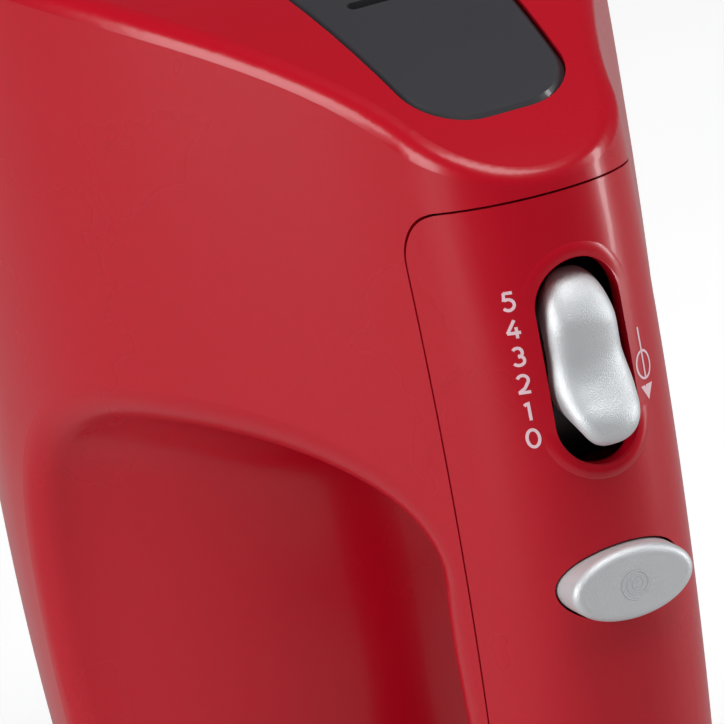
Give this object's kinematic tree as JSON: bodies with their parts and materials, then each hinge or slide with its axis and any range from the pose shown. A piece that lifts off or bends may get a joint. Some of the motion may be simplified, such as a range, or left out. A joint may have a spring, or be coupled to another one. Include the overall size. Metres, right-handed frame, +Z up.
{
  "type": "hand mixer",
  "caption": "Hand mixer standing on its heel: looped handle with thumb speed dial and turbo button, worm drive and pull-out wire beaters.",
  "frame": {"origin": "a point on the flat resting face of the heel foot, in the plane of symmetry, 55 mm behind the handle's outermost point", "axes": "+Z up from the heel to the nose, +X towards the handle and its controls, -X towards the beaters, +Y to the mixer's right side"},
  "size_m": [0.2697, 0.095, 0.1843],
  "materials": {
    "red_shell": "gloss moulded red",
    "silver_knob": "satin silver lacquer on plastic",
    "charcoal": "fine satin charcoal",
    "foot_rubber": "matt",
    "black_plastic": "matt",
    "white_nylon": "natural nylon",
    "steel": "turned steel",
    "chrome": "polished",
    "copper": "enamelled copper wire",
    "carbon": "pressed carbon",
    "bronze": "sintered bronze",
    "aluminium": "die-cast and extruded",
    "board": "green laminate"
  },
  "bodies": {
    "casing": {"main_housing": "red_shell", "handle_cover": "red_shell", "base_cover": "charcoal", "nose_insert": "charcoal", "heel_foot": "foot_rubber", "cable_gland": "black_plastic", "left_socket_ring": "white_nylon", "right_socket_ring": "white_nylon", "housing_screws": "steel", "rocker_brackets": "black_plastic", "turbo_switch": "black_plastic", "stator_core": "steel", "field_coils": "copper", "motor_bearings": "bronze", "motor_brackets": "aluminium", "brush_holders": "black_plastic", "carbon_brushes": "carbon", "brush_springs": "steel", "gear_frame": "aluminium", "gear_cover": "aluminium", "circuit_board": "board", "capacitor": "black_plastic", "heat_sink": "aluminium", "speed_switch": "black_plastic", "turbo_spring": "steel"},
    "rotor": {"motor_shaft": "steel", "armature_core": "steel", "armature_winding": "copper", "commutator": "copper", "cooling_fan": "white_nylon", "worm": "steel"},
    "rocker": {"eject_rocker": "white_nylon"},
    "knob": {"speed_knob": "silver_knob"},
    "yoke": {"eject_yoke": "white_nylon"},
    "button": {"turbo_button": "silver_knob"},
    "left_spindle_body": {"left_spindle": "steel", "left_gear": "white_nylon"},
    "right_spindle_body": {"right_spindle": "steel", "right_gear": "white_nylon"},
    "left_pin": {"left_eject_pin": "steel"},
    "right_pin": {"right_eject_pin": "steel"},
    "left_beater_body": {"left_beater": "chrome"},
    "right_beater_body": {"right_beater": "chrome"}
  },
  "joints": [
    {"name": "rotor_spin", "type": "hinge", "parent": "casing", "child": "rotor", "pos_m": [-0.046, 0, 0.1], "axis": [0, 0, 1], "continuous": true},
    {"name": "left_spindle_spin", "type": "hinge", "parent": "casing", "child": "left_spindle_body", "pos_m": [-0.046, -0.019, 0.15], "axis": [1, 0, 0], "continuous": true},
    {"name": "right_spindle_spin", "type": "hinge", "parent": "casing", "child": "right_spindle_body", "pos_m": [-0.046, 0.019, 0.15], "axis": [1, 0, 0], "continuous": true},
    {"name": "eject_turn", "type": "hinge", "parent": "casing", "child": "rocker", "pos_m": [0.02632, 0, 0.13975], "axis": [0, 1, 0], "range_deg": [0, 7.02], "stiffness_Nm_per_rad": 0.6, "springref_deg": -2.86},
    {"name": "speed_turn", "type": "hinge", "parent": "rocker", "child": "knob", "pos_m": [0.02632, 0, 0.13975], "axis": [0, -1, 0], "range_deg": [0, 38]},
    {"name": "yoke_slide", "type": "slide", "parent": "casing", "child": "yoke", "axis": [-1, 0, 0], "range_m": [0, 0.003]},
    {"name": "left_pin_slide", "type": "slide", "parent": "left_spindle_body", "child": "left_pin", "axis": [-1, 0, 0], "range_m": [0, 0.003]},
    {"name": "right_pin_slide", "type": "slide", "parent": "right_spindle_body", "child": "right_pin", "axis": [-1, 0, 0], "range_m": [0, 0.003]},
    {"name": "left_beater_pull", "type": "slide", "parent": "left_pin", "child": "left_beater_body", "axis": [-1, 0, 0], "range_m": [0, 0.05]},
    {"name": "right_beater_pull", "type": "slide", "parent": "right_pin", "child": "right_beater_body", "axis": [-1, 0, 0], "range_m": [0, 0.05]},
    {"name": "turbo_press", "type": "slide", "parent": "casing", "child": "button", "axis": [-0.9907, 0, -0.1363], "range_m": [0, 0.002], "stiffness_N_per_m": 400, "springref_m": -0.002, "deforming": ["turbo_spring"]}
  ],
  "couplings": [
    {"joint": "left_spindle_spin", "follows": "rotor_spin", "ratio": -0.071429},
    {"joint": "right_spindle_spin", "follows": "rotor_spin", "ratio": 0.071429},
    {"joint": "eject_turn", "follows": "left_pin_slide", "rad_per_m": 40.816},
    {"joint": "yoke_slide", "follows": "left_pin_slide", "ratio": 1},
    {"joint": "right_pin_slide", "follows": "left_pin_slide", "ratio": 1}
  ]
}
